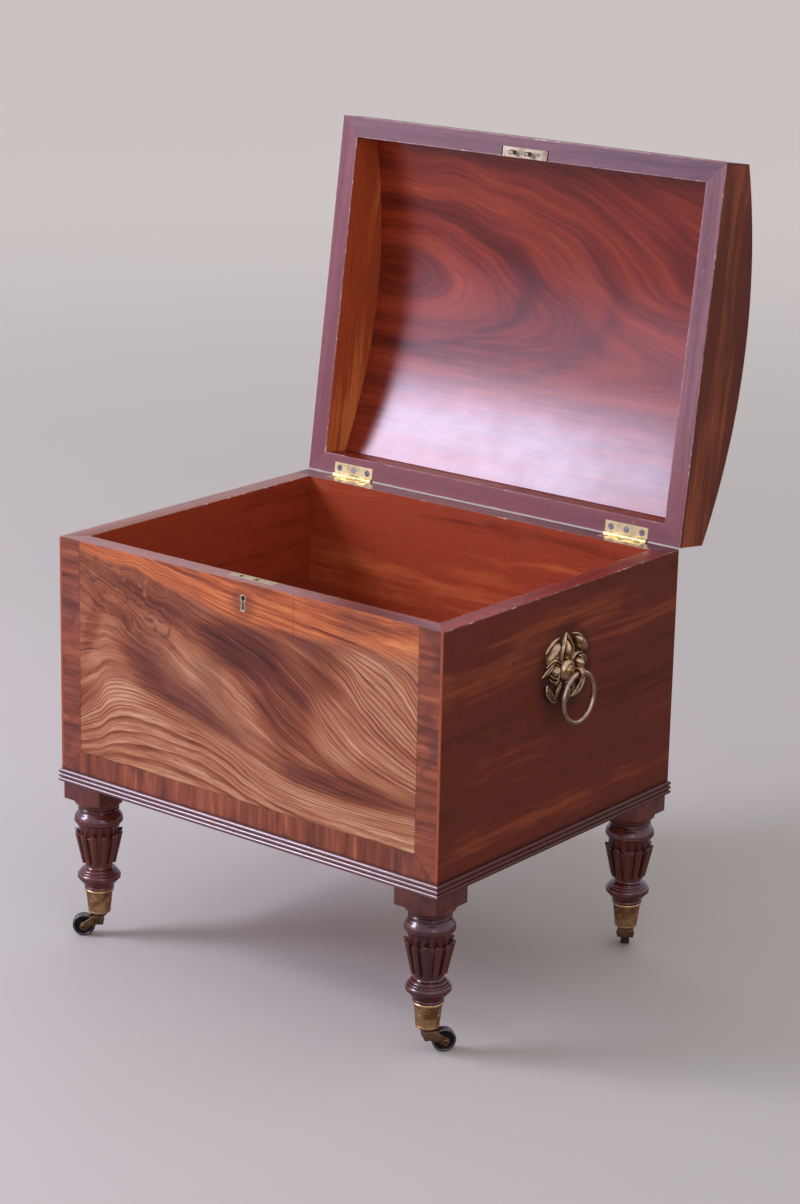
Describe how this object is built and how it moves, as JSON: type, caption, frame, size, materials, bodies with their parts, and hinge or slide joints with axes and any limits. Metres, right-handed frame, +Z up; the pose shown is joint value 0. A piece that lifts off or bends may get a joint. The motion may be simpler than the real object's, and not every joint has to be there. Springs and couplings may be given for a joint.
{
  "type": "cellarette",
  "caption": "Mahogany cellarette: a wine box on turned reeded legs with brass castors, with a hinged barrel lid, a lock and ring handles.",
  "frame": {"origin": "on the floor, under the middle of the carcass", "axes": "+Z up, the front with the keyhole faces -Y, +X to the right of someone who faces +Y; the lid stands open at rest and leans towards +Y"},
  "size_m": [0.616, 0.571, 0.9342],
  "materials": {
    "mahogany": "french polished mahogany, red-brown, semi-gloss",
    "figured_veneer": "figured mahogany veneer, polished",
    "crossband_veneer": "mahogany veneer laid across the band, polished",
    "stringing": "pale wood line, polished",
    "turned_mahogany": "dark polished mahogany",
    "hinge_brass": "worn bright brass",
    "cast_brass": "aged cast brass, dark in the recesses",
    "ring_brass": "worn brass",
    "castor_brass": "tarnished brass",
    "screw_steel": "dull steel"
  },
  "bodies": {
    "carcass": {"front_board": "mahogany", "back_board": "mahogany", "left_end_board": "mahogany", "right_end_board": "mahogany", "bottom_board": "mahogany", "base_frame": "mahogany", "base_moulding": "mahogany", "front_veneer_panel": "figured_veneer", "front_crossbanding": "crossband_veneer", "corner_stringing": "stringing", "leg_front_left": "turned_mahogany", "castor_front_left_cup": "castor_brass", "leg_front_right": "turned_mahogany", "castor_front_right_cup": "castor_brass", "leg_back_left": "turned_mahogany", "castor_back_left_cup": "castor_brass", "leg_back_right": "turned_mahogany", "castor_back_right_cup": "castor_brass", "castor_pivot_pins": "screw_steel", "castor_cup_screws": "castor_brass", "lock_case": "hinge_brass", "keyhole_escutcheon": "hinge_brass", "hinge_left_lower_leaf": "hinge_brass", "hinge_right_lower_leaf": "hinge_brass", "hinge_pins": "hinge_brass", "lock_screws": "screw_steel", "box_hinge_screws": "screw_steel", "handle_left_rosette": "cast_brass", "handle_left_eye": "cast_brass", "handle_right_rosette": "cast_brass", "handle_right_eye": "cast_brass", "handle_nuts": "cast_brass"},
    "lid": {"lid_front_rail": "mahogany", "lid_back_rail": "mahogany", "lid_left_end": "mahogany", "lid_right_end": "mahogany", "lid_top_panel": "mahogany", "lid_veneer": "figured_veneer", "lid_crossbanding": "crossband_veneer", "lid_stringing": "stringing", "link_plate": "hinge_brass", "link_plate_screws": "screw_steel", "hinge_left_upper_leaf": "hinge_brass", "hinge_right_upper_leaf": "hinge_brass", "lid_hinge_screws": "screw_steel"},
    "lock_bolt": {"lock_bolt": "hinge_brass"},
    "left_ring": {"handle_left_ring": "ring_brass"},
    "right_ring": {"handle_right_ring": "ring_brass"},
    "castor_front_left_swivel": {"castor_front_left_horn": "castor_brass", "castor_front_left_axle": "castor_brass"},
    "castor_front_left_wheel": {"castor_front_left_wheel": "castor_brass"},
    "castor_front_right_swivel": {"castor_front_right_horn": "castor_brass", "castor_front_right_axle": "castor_brass"},
    "castor_front_right_wheel": {"castor_front_right_wheel": "castor_brass"},
    "castor_back_left_swivel": {"castor_back_left_horn": "castor_brass", "castor_back_left_axle": "castor_brass"},
    "castor_back_left_wheel": {"castor_back_left_wheel": "castor_brass"},
    "castor_back_right_swivel": {"castor_back_right_horn": "castor_brass", "castor_back_right_axle": "castor_brass"},
    "castor_back_right_wheel": {"castor_back_right_wheel": "castor_brass"}
  },
  "joints": [
    {"name": "lid_hinge", "type": "hinge", "parent": "carcass", "child": "lid", "pos_m": [0, 0.222, 0.49525], "axis": [1, 0, 0], "range_deg": [0, 97.7]},
    {"name": "lock_bolt_slide", "type": "slide", "parent": "carcass", "child": "lock_bolt", "axis": [1, 0, 0], "range_m": [0, 0.0044]},
    {"name": "right_ring_swing", "type": "hinge", "parent": "carcass", "child": "right_ring", "pos_m": [0.301, 0, 0.403], "axis": [0, -1, 0], "range_deg": [-15, 160]},
    {"name": "left_ring_swing", "type": "hinge", "parent": "carcass", "child": "left_ring", "pos_m": [-0.301, 0, 0.403], "axis": [0, 1, 0], "range_deg": [-15, 160]},
    {"name": "castor_front_left_swivel_turn", "type": "hinge", "parent": "carcass", "child": "castor_front_left_swivel", "pos_m": [-0.2495, -0.1915, 0.026], "axis": [0, 0, 1], "continuous": true},
    {"name": "castor_front_left_roll", "type": "hinge", "parent": "castor_front_left_swivel", "child": "castor_front_left_wheel", "pos_m": [-0.26367, -0.20339, 0.0135], "axis": [0.6428, -0.766, 0], "continuous": true},
    {"name": "castor_front_right_swivel_turn", "type": "hinge", "parent": "carcass", "child": "castor_front_right_swivel", "pos_m": [0.2495, -0.1915, 0.026], "axis": [0, 0, 1], "continuous": true},
    {"name": "castor_front_right_roll", "type": "hinge", "parent": "castor_front_right_swivel", "child": "castor_front_right_wheel", "pos_m": [0.26089, -0.17692, 0.0135], "axis": [-0.788, 0.6157, 0], "continuous": true},
    {"name": "castor_back_left_swivel_turn", "type": "hinge", "parent": "carcass", "child": "castor_back_left_swivel", "pos_m": [-0.2495, 0.1915, 0.026], "axis": [0, 0, 1], "continuous": true},
    {"name": "castor_back_left_roll", "type": "hinge", "parent": "castor_back_left_swivel", "child": "castor_back_left_wheel", "pos_m": [-0.26367, 0.20339, 0.0135], "axis": [-0.6428, -0.766, 0], "continuous": true},
    {"name": "castor_back_right_swivel_turn", "type": "hinge", "parent": "carcass", "child": "castor_back_right_swivel", "pos_m": [0.2495, 0.1915, 0.026], "axis": [0, 0, 1], "continuous": true},
    {"name": "castor_back_right_roll", "type": "hinge", "parent": "castor_back_right_swivel", "child": "castor_back_right_wheel", "pos_m": [0.23916, 0.20684, 0.0135], "axis": [-0.829, -0.5592, 0], "continuous": true}
  ]
}
